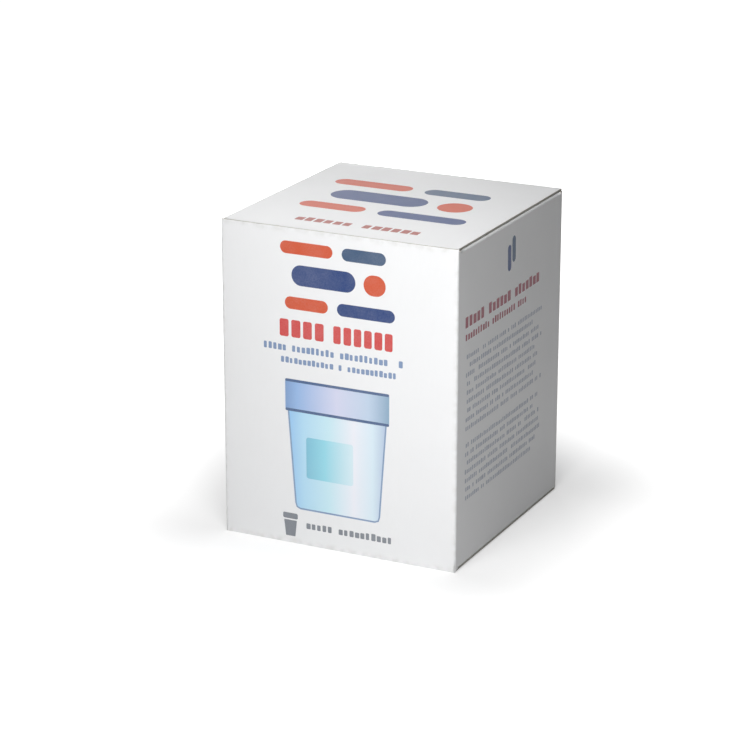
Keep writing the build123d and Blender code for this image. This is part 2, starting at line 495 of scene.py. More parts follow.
COATED_FACE = BoardFinish(
    "coated_board", (0.95, 0.952, 0.955), (0.915, 0.917, 0.92), (0.83, 0.825, 0.81),
    mottle=0.5, wear=0.5, smoothest=0.36, roughest=0.5, relief=5e-6, fibre_scale=1400.0, shine=0.35,
)
PLAIN_INSIDE = BoardFinish(
    "uncoated_inside", (0.88, 0.87, 0.84), (0.76, 0.74, 0.70), (0.82, 0.81, 0.78),
    mottle=0.7, wear=0.2, smoothest=0.75, roughest=0.95, relief=2.4e-5, fibre_scale=2300.0,
)
CUT_EDGE = BoardFinish(
    "cut_board_edge", (0.84, 0.83, 0.80), (0.66, 0.64, 0.60), (0.72, 0.70, 0.66),
    mottle=0.9, wear=0.3, smoothest=0.85, roughest=1.0, relief=4e-5, fibre_scale=4200.0,
)
LABEL_PAPER = BoardFinish(
    "label_paper", (0.80, 0.92, 0.95), (0.68, 0.84, 0.90), (0.80, 0.90, 0.92),
    mottle=0.6, wear=0.0, smoothest=0.55, roughest=0.7, relief=8e-6, fibre_scale=1900.0,
)

ORANGE_RED = Ink("ink_orange_red", (0.80, 0.30, 0.12))
DEEP_BLUE = Ink("ink_deep_blue", (0.09, 0.22, 0.45))
SLATE_BLUE = Ink("ink_slate_blue", (0.20, 0.31, 0.44))
TITLE_RED = Ink("ink_title_red", (0.80, 0.25, 0.24))
LID_RED = Ink("ink_lid_red", (0.64, 0.31, 0.27))
PLUM_RED = Ink("ink_plum_red", (0.60, 0.29, 0.35))
PALE_BLUE_TEXT = Ink("ink_pale_blue", (0.48, 0.57, 0.71))
GREY_TEXT = Ink("ink_grey", (0.50, 0.52, 0.55))
FAINT_TEXT = Ink("ink_faint_grey", (0.70, 0.72, 0.77))
PICTURE_LINE = Ink("ink_picture_line", (0.28, 0.38, 0.54))
PICTURE_EDGE = Ink("ink_picture_edge", (0.50, 0.60, 0.74))
PICTURE_CAP = ShadedInk(
    "ink_picture_cap", (0.6, 0.7, 0.85), thinning=0.15,
    tones=((0.0, (0.50, 0.62, 0.80)), (0.12, (0.60, 0.73, 0.90)), (0.5, (0.84, 0.85, 0.94)),
           (0.8, (0.76, 0.83, 0.91)), (1.0, (0.54, 0.66, 0.76))),
)
PICTURE_CUP = ShadedInk(
    "ink_picture_cup", (0.7, 0.85, 0.95), thinning=0.15,
    tones=((0.05, (0.62, 0.80, 0.95)), (0.18, (0.72, 0.88, 0.97)), (0.42, (0.80, 0.93, 0.97)),
           (0.66, (0.94, 0.95, 0.98)), (0.84, (0.86, 0.93, 0.97)), (0.96, (0.72, 0.79, 0.88))),
)
PICTURE_LABEL = ShadedInk(
    "ink_picture_label", (0.6, 0.85, 0.92), thinning=0.15,
    tones=((0.0, (0.52, 0.77, 0.86)), (0.4, (0.60, 0.86, 0.92)), (1.0, (0.86, 0.94, 0.97))),
)

CLEAR_CUP = PlasticFinish("clear_cup_plastic", (0.80, 0.90, 0.95), (0.72, 0.86, 0.93), 0.22, clearness=0.7)
BLUE_CAP = PlasticFinish("blue_cap_plastic", (0.44, 0.57, 0.78), (0.38, 0.51, 0.73), 0.3)


@dataclass(frozen=True)
class CartonSizes:
    """Sizes of the closed carton, read from the frame."""

    width: float
    depth: float
    height: float
    hinge_y: float
    hinge_z: float

    @classmethod
    def from_frame(cls) -> "CartonSizes":
        """Reads the sizes from the CAD box and the upper lid's hinge."""
        low, high = CAD_BOX
        hinge = next(joint for joint in frame["joints"] if joint["name"] == "top_lid_hinge")
        return cls(high.x - low.x, high.y - low.y, high.z, hinge["pos_m"][1], hinge["pos_m"][2])

    @property
    def board(self) -> float:
        """Thickness of the board, twice as much as lies over the hinge's axis."""
        return 2 * (self.height - self.hinge_z)


@dataclass(frozen=True)
class PanelBow:
    """How the board settles: the walls bow between their folds, and all of it lies just inside the CAD box."""

    sizes: CartonSizes
    bow: float = 0.3 * MM
    skin: float = 0.02 * MM

    def settle(self, point: Vector) -> Vector:
        """Moves one point of the board or its print.

        Args:
            point: Its place on the straight carton.

        Returns:
            Its place on the settled carton.
        """
        across = point.x / (self.sizes.width / 2)
        back = point.y / (self.sizes.depth / 2)
        up = 2 * point.z / self.sizes.height - 1
        flat = [max(0.0, 1 - share * share) for share in (across, back, up)]
        side_pull = self.bow * (1 - flat[1] * flat[2]) + self.skin
        # The rear folds and the lids' hinges stay where they are
        front_pull = self.bow * (1 - flat[0] * flat[2]) * (1 - back) / 2 + self.skin
        lowered = self.skin * point.z / self.sizes.height
        return Vector((point.x - across * side_pull, point.y - back * front_pull, point.z - lowered))


def cut_to_cells(mesh: bmesh.types.BMesh, cell: float) -> None:
    """Cuts a mesh along planes through the whole carton, so that every sheet and print shares one grid.

    Args:
        mesh: The mesh to cut, in place.
        cell: The distance between the planes.
    """
    low, high = CAD_BOX
    for axis in range(3):
        normal = Vector((0.0, 0.0, 0.0))
        normal[axis] = 1.0
        count = round((high[axis] - low[axis]) / cell)
        for step in range(1, count):
            place = low + normal * ((high[axis] - low[axis]) * step / count)
            everything = mesh.verts[:] + mesh.edges[:] + mesh.faces[:]
            bmesh.ops.bisect_plane(mesh, geom=everything, dist=1e-7, plane_co=place, plane_no=normal)


def point_outwards(mesh: bmesh.types.BMesh) -> None:
    """Turns the faces of each closed shell outwards, also where a film is too thin for Blender's own test.

    Args:
        mesh: The mesh, whose faces are turned in place.
    """
    bmesh.ops.recalc_face_normals(mesh, faces=mesh.faces[:])
    mesh.faces.index_update()
    unseen = set(mesh.faces)
    for first in mesh.faces:
        if first not in unseen:
            continue
        unseen.discard(first)
        shell = [first]
        for face in shell:  # the list grows while its faces' neighbours are found
            neighbours = {other for edge in face.edges for other in edge.link_faces} & unseen
            unseen -= neighbours
            shell.extend(sorted(neighbours, key=lambda other: other.index))
        origin = first.verts[0].co
        volume = sum((face.calc_center_median() - origin).dot(face.normal) * face.calc_area() for face in shell)
        if volume < 0:
            bmesh.ops.reverse_faces(mesh, faces=shell)


def finished_piece(
    name: str, mesh: bmesh.types.BMesh, materials: Iterable[bpy.types.Material], smooth_below: float = 35.0
) -> bpy.types.Object:
    """Turns a working mesh into a piece of the scene.

    Args:
        name: The piece's name.
        mesh: The working mesh, which is freed.
        materials: Its material slots, in order.
        smooth_below: Edges that turn by fewer degrees are shaded smooth.

    Returns:
        The piece.
    """
    data = bpy.data.meshes.new(name)
    mesh.to_mesh(data)
    mesh.free()
    for material in materials:
        data.materials.append(material)
    data.shade_smooth()
    data.set_sharp_from_angle(angle=math.radians(smooth_below))
    piece = bpy.data.objects.new(name, data)
    bpy.context.scene.collection.objects.link(piece)
    return piece


class BoardSide(Enum):
    """The sides of the board, in the order of a sheet's material slots."""

    COATED = 0
    INSIDE = 1
    CUT = 2


@dataclass(frozen=True)
class BoardSheet:
    """A folded sheet of board, remade on a fine grid so that it can bow."""

    name: str
    node: str
    body: str
    cell: float = GRID_CELL

    def build(self, bow: PanelBow, finishes: list[bpy.types.Material]) -> bpy.types.Object:
        """Builds the sheet in place of its CAD node.

        Args:
            bow: How the board settles.
            finishes: The materials of the board's sides.

        Returns:
            The sheet.
        """
        mesh = bmesh.new()
        mesh.from_mesh(frame["nodes"][self.node].data)
        bmesh.ops.remove_doubles(mesh, verts=mesh.verts[:], dist=1e-6)
        bmesh.ops.dissolve_limit(
            mesh, angle_limit=math.radians(0.5), verts=mesh.verts[:], edges=mesh.edges[:]
        )
        cut_to_cells(mesh, self.cell)
        self._sort_sides(mesh, bow.sizes)
        for vertex in mesh.verts:
            vertex.co = bow.settle(vertex.co)
        sheet = finished_piece(self.name, mesh, finishes)
        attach(sheet, self.body)
        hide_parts(self.node)
        return sheet

    @staticmethod
    def _sort_sides(mesh: bmesh.types.BMesh, sizes: CartonSizes) -> None:
        """Gives each face the slot of its side, found by a short ray through the board.

        Args:
            mesh: The sheet, whose faces get their slots.
            sizes: The carton's sizes.
        """
        middle = Vector((0.0, 0.0, sizes.height / 2))
        mesh.normal_update()
        tree = BVHTree.FromBMesh(mesh)
        for face in mesh.faces:
            centre = face.calc_center_median()
            # The board is twice as thick where the glue flap lies behind the side panel
            hit, normal, _, distance = tree.ray_cast(centre - face.normal * 1e-6, -face.normal, 2.3 * sizes.board)
            through = hit is not None and distance > 0.8 * sizes.board
            if not through or normal.dot(face.normal) > -0.8:
                face.material_index = BoardSide.CUT.value
            elif face.normal.dot(centre - middle) > 0:
                face.material_index = BoardSide.COATED.value
            else:
                face.material_index = BoardSide.INSIDE.value


@dataclass(frozen=True)
class HingeCrease:
    """The coated skin of the board where it bends round a lid's hinge."""

    name: str
    lid_body: str
    at_top: bool
    width: float
    below: float = 0.9 * MM
    lift: float = 0.006 * MM
    skin: float = 0.004 * MM
    turn: float = 75.0
    steps: int = 6

    def build(self, bow: PanelBow, coated: bpy.types.Material) -> bpy.types.Object:
        """Builds the strip.

        Args:
            bow: How the board settles.
            coated: The coated side's material.

        Returns:
            The strip.
        """
        sizes = bow.sizes
        outer = sizes.board / 2 + self.lift
        angles = [math.radians(self.turn * step / self.steps) for step in range(self.steps + 1)]
        profile = [(outer, -self.below)] + [(outer * math.cos(a), outer * math.sin(a)) for a in angles]
        inner = outer - self.skin
        back = [(inner * math.cos(a), inner * math.sin(a)) for a in reversed(angles)] + [(inner, -self.below)]
        mesh = bmesh.new()
        ring = [mesh.verts.new(self._place((-self.width / 2, y, z), sizes)) for y, z in profile + back]
        face = mesh.faces.new(ring)
        swept = bmesh.ops.extrude_face_region(mesh, geom=[face])
        for vertex in (part for part in swept["geom"] if isinstance(part, bmesh.types.BMVert)):
            vertex.co.x += self.width
        cut_to_cells(mesh, GRID_CELL)
        point_outwards(mesh)
        for vertex in mesh.verts:
            vertex.co = bow.settle(vertex.co)
        strip = finished_piece(self.name, mesh, [coated], smooth_below=60.0)
        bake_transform(strip)
        return strip

    def _place(self, point: tuple[float, float, float], sizes: CartonSizes) -> Vector:
        """Puts a point, given from the hinge's axis, at the upper or the lower hinge.

        Args:
            point: Its distances from the axis.
            sizes: The carton's sizes.

        Returns:
            Its place in the frame.
        """
        x, y, z = point
        height = sizes.hinge_z + z if self.at_top else sizes.height - sizes.hinge_z - z
        return Vector((x, sizes.hinge_y + y, height))


def baked(tree: bpy.types.NodeTree, inputs: dict[str, Any]) -> bpy.types.Mesh:
    """Runs a Geometry Nodes tree once and keeps its result as a plain mesh.

    Args:
        tree: The tree.
        inputs: Its inputs by name.

    Returns:
        The mesh.
    """
    holder = bpy.data.objects.new(tree.name, bpy.data.meshes.new(tree.name))
    bpy.context.scene.collection.objects.link(holder)
    modifier = holder.modifiers.new(tree.name, "NODES")
    modifier.node_group = tree
    identifiers = {item.name: item.identifier for item in tree.interface.items_tree if item.in_out == "INPUT"}
    for name, value in inputs.items():
        modifier[identifiers[name]] = value
    graph = bpy.context.evaluated_depsgraph_get()
    mesh = bpy.data.meshes.new_from_object(holder.evaluated_get(graph), depsgraph=graph)
    holder.modifiers.remove(modifier)
    bpy.data.objects.remove(holder)
    return mesh


def open_geometry(name: str, numbers: dict[str, float], counts: Iterable[str]) -> tuple:
    """Opens a Geometry Nodes tree with its inputs.

    Args:
        name: The tree's name.
        numbers: Names of its number inputs, with their defaults.
        counts: Names of its whole-number inputs.

    Returns:
        The tree, its nodes, and its input and output nodes.
    """
    tree = bpy.data.node_groups.new(name, "GeometryNodeTree")
    for label, default in numbers.items():
        socket = tree.interface.new_socket(name=label, in_out="INPUT", socket_type="NodeSocketFloat")
        socket.default_value = default
    for label in counts:
        tree.interface.new_socket(name=label, in_out="INPUT", socket_type="NodeSocketInt")
    tree.interface.new_socket(name="Material", in_out="INPUT", socket_type="NodeSocketMaterial")
    tree.interface.new_socket(name="Geometry", in_out="OUTPUT", socket_type="NodeSocketGeometry")
    sketch = NodeSketch(tree)
    return tree, sketch, sketch.add("NodeGroupInput"), sketch.add("NodeGroupOutput")


def letter_tree() -> bpy.types.NodeTree:
    """Builds the tree that sets rows of plain blocks, which stand for small print.

    Returns:
        The tree.
    """
    numbers = {
        "Row Length": 0.04, "Row Pitch": 0.003, "Letter Width": 0.001, "Letter Height": 0.0015,
        "Letter Gap": 0.0004, "Corner": 0.0002, "Lift": 0.0, "Film": 1e-5, "Word Gaps": 0.15, "Ragged": 0.1,
        "Narrowest": 0.7, "Lowest": 0.75,
    }
    tree, sketch, given, result = open_geometry("letter_rows", numbers, ("Rows", "Corner Steps", "Seed"))
    g = given.outputs
    pitch = sketch.maths("ADD", g["Letter Width"], g["Letter Gap"])
    columns = sketch.maths("FLOOR", sketch.maths("DIVIDE", g["Row Length"], pitch))
    column_step = sketch.add("ShaderNodeCombineXYZ", {"X": pitch})
    row_step = sketch.add("ShaderNodeCombineXYZ", {"Y": g["Row Pitch"]})
    row = sketch.add("GeometryNodeMeshLine", {"Count": columns, "Offset": column_step.outputs[0]})
    stack = sketch.add("GeometryNodeMeshLine", {"Count": g["Rows"], "Offset": row_step.outputs[0]})
    grid = sketch.add(
        "GeometryNodeInstanceOnPoints", {"Points": stack.outputs[0], "Instance": row.outputs[0]}
    )
    places = sketch.add("GeometryNodeRealizeInstances", {0: grid.outputs[0]})

    # Some places stay empty, as the gaps between words do, and each row ends where it likes
    index = sketch.add("GeometryNodeInputIndex").outputs[0]
    row_number = sketch.maths("FLOOR", sketch.maths("DIVIDE", index, columns))
    chance = sketch.add("FunctionNodeRandomValue", {"ID": index, "Seed": g["Seed"]}, data_type="FLOAT")
    row_chance = sketch.add(
        "FunctionNodeRandomValue", {"ID": row_number, "Seed": sketch.maths("ADD", g["Seed"], 7.0)},
        data_type="FLOAT",
    )
    position = sketch.add("ShaderNodeSeparateXYZ", {0: sketch.add("GeometryNodeInputPosition").outputs[0]})
    row_end = sketch.maths(
        "MULTIPLY", g["Row Length"],
        sketch.maths("SUBTRACT", 1.0, sketch.maths("MULTIPLY", row_chance.outputs[1], g["Ragged"])),
    )
    gap = sketch.add("FunctionNodeCompare", {0: chance.outputs[1], 1: g["Word Gaps"]}, operation="LESS_THAN")
    past = sketch.add("FunctionNodeCompare", {0: position.outputs["X"], 1: row_end}, operation="GREATER_THAN")
    empty = sketch.add("FunctionNodeBooleanMath", {0: gap.outputs[0], 1: past.outputs[0]}, operation="OR")
    shift = sketch.add("ShaderNodeCombineXYZ", {"X": sketch.maths("MULTIPLY", row_chance.outputs[1], pitch)})
    kept = sketch.add("GeometryNodeDeleteGeometry", {0: places.outputs[0], 1: empty.outputs[0]}, domain="POINT")
    shifted = sketch.add("GeometryNodeSetPosition", {"Geometry": kept.outputs[0], "Offset": shift.outputs[0]})

    # One letter: a slab with rounded corners that stands on its baseline
    outline = sketch.add(
        "GeometryNodeCurvePrimitiveQuadrilateral", {"Width": g["Letter Width"], "Height": g["Letter Height"]}
    )
    rounded = sketch.add(
        "GeometryNodeFilletCurve",
        {"Curve": outline.outputs[0], "Count": g["Corner Steps"], "Radius": g["Corner"], "Limit Radius": True},
        mode="POLY",
    )
    face = sketch.add("GeometryNodeFillCurve", {0: rounded.outputs[0]}, mode="NGONS")
    slab = sketch.add("GeometryNodeExtrudeMesh", {"Mesh": face.outputs[0], "Offset Scale": g["Film"]})
    underside = sketch.add("GeometryNodeFlipFaces", {0: face.outputs[0]})
    closed = sketch.add("GeometryNodeJoinGeometry", {0: slab.outputs[0]})
    tree.links.new(underside.outputs[0], closed.inputs[0])
    merged = sketch.add("GeometryNodeMergeByDistance", {"Geometry": closed.outputs[0], "Distance": 1e-7})
    stand = sketch.add(
        "ShaderNodeCombineXYZ",
        {"X": sketch.maths("DIVIDE", g["Letter Width"], 2.0), "Y": sketch.maths("DIVIDE", g["Letter Height"], 2.0),
         "Z": g["Lift"]},
    )
    letter = sketch.add("GeometryNodeTransform", {"Geometry": merged.outputs[0], "Translation": stand.outputs[0]})

    least = sketch.add("ShaderNodeCombineXYZ", {"X": g["Narrowest"], "Y": g["Lowest"], "Z": 1.0})
    varied = sketch.add(
        "FunctionNodeRandomValue",
        {0: least.outputs[0], 1: (1.0, 1.0, 1.0), "Seed": sketch.maths("ADD", g["Seed"], 3.0)},
        data_type="FLOAT_VECTOR",
    )
    letters = sketch.add(
        "GeometryNodeInstanceOnPoints",
        {"Points": shifted.outputs[0], "Instance": letter.outputs[0], "Scale": varied.outputs[0]},
    )
    real = sketch.add("GeometryNodeRealizeInstances", {0: letters.outputs[0]})
    inked = sketch.add("GeometryNodeSetMaterial", {"Geometry": real.outputs[0], "Material": g["Material"]})
    tree.links.new(inked.outputs[0], result.inputs[0])
    return tree


def wrapped_bar_tree() -> bpy.types.NodeTree:
    """Builds the tree that wraps a ladder of bars round a tapered wall, or one long bar as a screw thread.

    Returns:
        The tree.
    """
    numbers = {
        "Middle": 0.02, "Pitch": 0.003, "Short Bar": 0.004, "Long Bar": 0.008, "Bar Width": 0.0005,
        "Bar Depth": 0.0003, "Crest": 0.6, "Sink": 1e-5, "Facing": 1.0, "Climb": 0.0, "Azimuth": 0.0,
        "Foot Radius": 0.026, "Slope": 0.0,
    }
    tree, sketch, given, result = open_geometry("wrapped_bars", numbers, ("Count", "Long Every", "Segments"))
    g = given.outputs
    start = sketch.add("ShaderNodeCombineXYZ", {"Z": g["Middle"]})
    step = sketch.add("ShaderNodeCombineXYZ", {"Z": g["Pitch"]})
    ladder = sketch.add(
        "GeometryNodeMeshLine",
        {"Count": g["Count"], "Start Location": start.outputs[0], "Offset": step.outputs[0]},
    )
    index = sketch.add("GeometryNodeInputIndex").outputs[0]
    is_long = sketch.maths("LESS_THAN", sketch.maths("MODULO", index, g["Long Every"]), 0.5)
    extra = sketch.maths("MULTIPLY", is_long, sketch.maths("SUBTRACT", g["Long Bar"], g["Short Bar"]))
    size = sketch.add(
        "ShaderNodeCombineXYZ",
        {"X": sketch.maths("ADD", g["Short Bar"], extra), "Y": g["Bar Depth"], "Z": g["Bar Width"]},
    )

    # One bar of unit size, narrower at its crest than at its root
    block = sketch.add(
        "GeometryNodeMeshCube",
        {"Size": (1.0, 1.0, 1.0), "Vertices X": g["Segments"], "Vertices Y": 2, "Vertices Z": 2},
    )
    corner = sketch.add("ShaderNodeSeparateXYZ", {0: sketch.add("GeometryNodeInputPosition").outputs[0]}).outputs
    share = sketch.add("ShaderNodeMapRange", {"Value": corner["Y"], "From Min": -0.5, "From Max": 0.5,
                                              "To Min": 1.0, "To Max": g["Crest"]})
    narrowed = sketch.add(
        "ShaderNodeCombineXYZ",
        {"X": corner["X"], "Y": corner["Y"], "Z": sketch.maths("MULTIPLY", corner["Z"], share.outputs[0])},
    )
    bar = sketch.add("GeometryNodeSetPosition", {"Geometry": block.outputs[0], "Position": narrowed.outputs[0]})
    bars = sketch.add(
        "GeometryNodeInstanceOnPoints",
        {"Points": ladder.outputs[0], "Instance": bar.outputs[0], "Scale": size.outputs[0]},
    )
    real = sketch.add("GeometryNodeRealizeInstances", {0: bars.outputs[0]})

    # Straight bars along x become arcs on the wall, which climb as a thread does
    flat = sketch.add("ShaderNodeSeparateXYZ", {0: sketch.add("GeometryNodeInputPosition").outputs[0]}).outputs
    wall = sketch.maths("ADD", g["Foot Radius"], sketch.maths("MULTIPLY", g["Slope"], flat["Z"]))
    angle = sketch.maths("SUBTRACT", g["Azimuth"], sketch.maths("DIVIDE", flat["X"], wall))
    proud = sketch.maths(
        "SUBTRACT", sketch.maths("ADD", flat["Y"], sketch.maths("MULTIPLY", g["Bar Depth"], 0.5)), g["Sink"]
    )
    reach = sketch.maths("ADD", wall, sketch.maths("MULTIPLY", g["Facing"], proud))
    wrapped = sketch.add(
        "ShaderNodeCombineXYZ",
        {"X": sketch.maths("MULTIPLY", reach, sketch.maths("COSINE", angle)),
         "Y": sketch.maths("MULTIPLY", reach, sketch.maths("SINE", angle)),
         "Z": sketch.maths("SUBTRACT", flat["Z"], sketch.maths("MULTIPLY", flat["X"], g["Climb"]))},
    )
    placed = sketch.add("GeometryNodeSetPosition", {"Geometry": real.outputs[0], "Position": wrapped.outputs[0]})
    dressed = sketch.add("GeometryNodeSetMaterial", {"Geometry": placed.outputs[0], "Material": g["Material"]})
    tree.links.new(dressed.outputs[0], result.inputs[0])
    return tree


class Panel(Enum):
    """The printed panels of the closed carton, each with its own way right and up."""

    FRONT = ((1, 0, 0), (0, 0, 1))
    RIGHT = ((0, 1, 0), (0, 0, 1))
    BACK = ((-1, 0, 0), (0, 0, 1))
    LEFT = ((0, -1, 0), (0, 0, 1))
    TOP = ((1, 0, 0), (0, 1, 0))

    def matrix(self, sizes: CartonSizes) -> Matrix:
        """Gives the panel's own axes: right, up and outwards, from its lower left corner.

        Args:
            sizes: The carton's sizes.

        Returns:
            The matrix from the panel's axes to the frame.
        """
        right, up = (Vector(way) for way in self.value)
        out = right.cross(up)
        half = Vector((sizes.width / 2, sizes.depth / 2, sizes.height / 2))
        middle = Vector((0.0, 0.0, sizes.height / 2))
        reach = [Vector(a * b for a, b in zip(way, half)) for way in (right, up, out)]
        corner = middle - reach[0] - reach[1] + reach[2]
        rows = [[right[i], up[i], out[i], corner[i]] for i in range(3)]
        return Matrix(rows + [[0.0, 0.0, 0.0, 1.0]])


def rounded_box(
    left: float, bottom: float, right: float, top: float, radius: float, steps: int = 6
) -> list[Point2]:
    """Outlines a box with round corners.

    Args:
        left: Left edge.
        bottom: Lower edge.
        right: Right edge.
        top: Upper edge.
        radius: Radius of the corners.
        steps: Segments in each corner.

    Returns:
        The outline, anticlockwise.
    """
    corners = [
        (right - radius, bottom + radius, -90.0),
        (right - radius, top - radius, 0.0),
        (left + radius, top - radius, 90.0),
        (left + radius, bottom + radius, 180.0),
    ]
    points = []
    for x, y, start in corners:
        for step in range(steps + 1):
            angle = math.radians(start + 90.0 * step / steps)
            points.append((x + radius * math.cos(angle), y + radius * math.sin(angle)))
    return points


@dataclass(frozen=True)
class Patch:
    """A field of ink, with its outline in millimetres on the panel. A later layer lies on an earlier one."""

    ink: Ink
    outline: list[Point2]
    layer: int = 0


@dataclass(frozen=True)
class LetterRows:
    """Rows of plain blocks that stand for print, in millimetres on the panel."""

    ink: Ink
    left: float
    bottom: float
    length: float
    letter_height: float
    letter_width: float
    seed: int
    rows: int = 1
    pitch: float = 1.0
    gap: float = 0.4
    word_gaps: float = 0.16
    ragged: float = 0.0
    corner: float = 0.25
    corner_steps: int = 2
    narrowest: float = 0.7
    lowest: float = 0.75


@dataclass(frozen=True)
class BarDevice:
    """Three rows of bars, a plain device in the print's own colours."""

    left: float
    bottom: float
    width: float
    height: float

    def patches(self) -> list[Patch]:
        """Gives the bars from the top down, two to a row."""
        plan = (
            (ORANGE_RED, 0.00, 0.46, 0.80, 0.97),
            (SLATE_BLUE, 0.54, 0.92, 0.80, 0.97),
            (DEEP_BLUE, 0.10, 0.66, 0.38, 0.66),
            (ORANGE_RED, 0.73, 0.92, 0.38, 0.66),
            (ORANGE_RED, 0.04, 0.42, 0.05, 0.22),
            (DEEP_BLUE, 0.50, 1.00, 0.05, 0.22),
        )
        bars = []
        for ink, start, end, low, high in plan:
            bottom, top = (self.bottom + self.height * share for share in (low, high))
            left, right = (self.left + self.width * share for share in (start, end))
            bars.append(Patch(ink, rounded_box(left, bottom, right, top, 0.499 * (top - bottom), steps=8)))
        return bars


@dataclass(frozen=True)
class CupPicture:
    """The picture of the container: a capped cup with a label, drawn with plain shapes."""

    cap_left: float = 18.7
    cap_right: float = 49.0
    cap_bottom: float = 37.0
    cap_top: float = 45.8
    cup_top_inset: float = 0.7
    cup_bottom_inset: float = 2.6
    cup_bottom: float = 9.9
    corner_width: float = 1.6
    corner_height: float = 1.8
    corner_middle: tuple[float, float] = (0.4, 0.5)
    line: float = 0.75
    side_line: float = 0.45
    label_left: float = 24.8
    label_right: float = 38.6
    label_bottom: float = 19.0
    label_top: float = 30.4

    def _cup_outline(self, inset: float) -> list[tuple[float, float]]:
        """Gives the cup's outline below its cap, from the top left round the foot to the top right.

        Args:
            inset: How far inside the cup's edge the outline runs, in millimetres.
        """
        foot_left = self.cap_left + self.cup_bottom_inset
        middle_x, middle_y = self.corner_middle
        slanted = 0.7 * inset  # the corner's middle moves in along both axes
        left = [
            (self.cap_left + self.cup_top_inset + inset, self.cap_bottom),
            (foot_left + inset, self.cup_bottom + self.corner_height),
            (foot_left + middle_x + slanted, self.cup_bottom + middle_y + slanted),
            (foot_left + self.corner_width, self.cup_bottom + inset),
        ]
        right = [(self.cap_left + self.cap_right - x, y) for x, y in reversed(left)]
        return left + right

    def patches(self) -> list[Patch]:
        """Gives the fields of the picture, from the lowest layer up."""
        cup = self._cup_outline(0.0)
        cup_edge = cup + self._cup_outline(self.side_line)[::-1]
        return [
            Patch(PICTURE_CUP, cup),
            Patch(PICTURE_CAP, rounded_box(self.cap_left, self.cap_bottom, self.cap_right, self.cap_top, 0.8)),
            Patch(PICTURE_EDGE, cup_edge, layer=1),
            Patch(
                PICTURE_LINE,
                rounded_box(self.cap_left, self.cap_top - self.line, self.cap_right, self.cap_top, 0.4),
                layer=1,
            ),
            Patch(
                PICTURE_LINE,
                rounded_box(self.cap_left, self.cap_bottom, self.cap_right, self.cap_bottom + self.line, 0.4),
                layer=1,
            ),
            Patch(
                PICTURE_LABEL,
                rounded_box(self.label_left, self.label_bottom, self.label_right, self.label_top, 0.7),
                layer=1,
            ),
        ]

    def shade_ends(self, ink: Ink) -> tuple[float, float]:
        """Gives where an ink's tones start and end across the panel, in millimetres."""
        if ink is PICTURE_LABEL:
            return self.label_left, self.label_right
        return self.cap_left, self.cap_right


@dataclass(frozen=True)
class PanelPrint:
    """Everything printed on one panel."""

    name: str
    panel: Panel
    body: str
    patches: list[Patch]
    rows: list[LetterRows]
    film: float = 0.005 * MM
    clearance: float = 0.2  # under the lowest film, as a share of its thickness
    layer_step: float = 1.1
    cell: float = GRID_CELL

    def build(self, bow: PanelBow, letters: bpy.types.NodeTree, picture: CupPicture) -> bpy.types.Object:
        """Builds the print as thin films on the board.

        Args:
            bow: How the board settles.
            letters: The tree that sets rows of blocks.
            picture: The picture, which says how far its shades run.

        Returns:
            The print.
        """
        place = self.panel.matrix(bow.sizes)
        inks: dict[str, tuple[int, bpy.types.Material]] = {}
        mesh = bmesh.new()
        for patch in self.patches:
            slot, _ = self._slot(inks, patch.ink, place, picture)
            self._add_film(mesh, patch, slot)
        for row in self.rows:
            slot, material = self._slot(inks, row.ink, place, picture)
            known = set(mesh.faces)
            block = self._set_rows(row, letters, material)
            mesh.from_mesh(block)
            for face in mesh.faces:
                if face not in known:
                    face.material_index = slot
            bpy.data.meshes.remove(block)
        mesh.transform(place)
        point_outwards(mesh)
        cut_to_cells(mesh, self.cell)
        for vertex in mesh.verts:
            vertex.co = bow.settle(vertex.co)
        piece = finished_piece(self.name, mesh, [material for _, material in inks.values()])
        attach(piece, self.body)
        return piece

    @staticmethod
    def _slot(
        inks: dict[str, tuple[int, bpy.types.Material]], ink: Ink, place: Matrix, picture: CupPicture
    ) -> tuple[int, bpy.types.Material]:
        """Finds an ink's slot on this panel, or makes its material.

        Args:
            inks: The slots so far, which may grow.
            ink: The ink.
            place: The panel's axes.
            picture: The picture, which says how far its shades run.

        Returns:
            The slot's number and the material.
        """
        if ink.name not in inks:
            span = None
            if isinstance(ink, ShadedInk):
                span = tuple(place @ Vector((x * MM, 0.0, 0.0)) for x in picture.shade_ends(ink))
            inks[ink.name] = (len(inks), ink.material(span))
        return inks[ink.name]

    def _add_film(self, mesh: bmesh.types.BMesh, patch: Patch, slot: int) -> None:
        """Adds one field of ink as a closed film.

        Args:
            mesh: The panel's print, in the panel's own axes.
            patch: The field.
            slot: Its material slot.
        """
        low = (self.clearance + self.layer_step * patch.layer) * self.film
        face = mesh.faces.new([mesh.verts.new((x * MM, y * MM, low)) for x, y in patch.outline])
        face.material_index = slot
        swept = bmesh.ops.extrude_face_region(mesh, geom=[face], use_keep_orig=True)
        for part in swept["geom"]:
            if isinstance(part, bmesh.types.BMVert):
                part.co.z += self.film

    def _set_rows(self, row: LetterRows, letters: bpy.types.NodeTree, ink: bpy.types.Material) -> bpy.types.Mesh:
        """Sets rows of blocks.

        Args:
            row: What to set.
            letters: The tree that sets it.
            ink: Its material.

        Returns:
            The blocks as a mesh, in the panel's own axes.
        """
        block = baked(letters, {
            "Row Length": row.length * MM, "Row Pitch": row.pitch * MM, "Letter Width": row.letter_width * MM,
            "Letter Height": row.letter_height * MM, "Letter Gap": row.gap * MM, "Corner": row.corner * MM,
            "Lift": self.clearance * self.film, "Film": self.film, "Word Gaps": row.word_gaps,
            "Ragged": row.ragged,
            "Narrowest": row.narrowest, "Lowest": row.lowest,
            "Rows": row.rows, "Corner Steps": row.corner_steps, "Seed": row.seed, "Material": ink,
        })
        block.transform(Matrix.Translation((row.left * MM, row.bottom * MM, 0.0)))
        return block


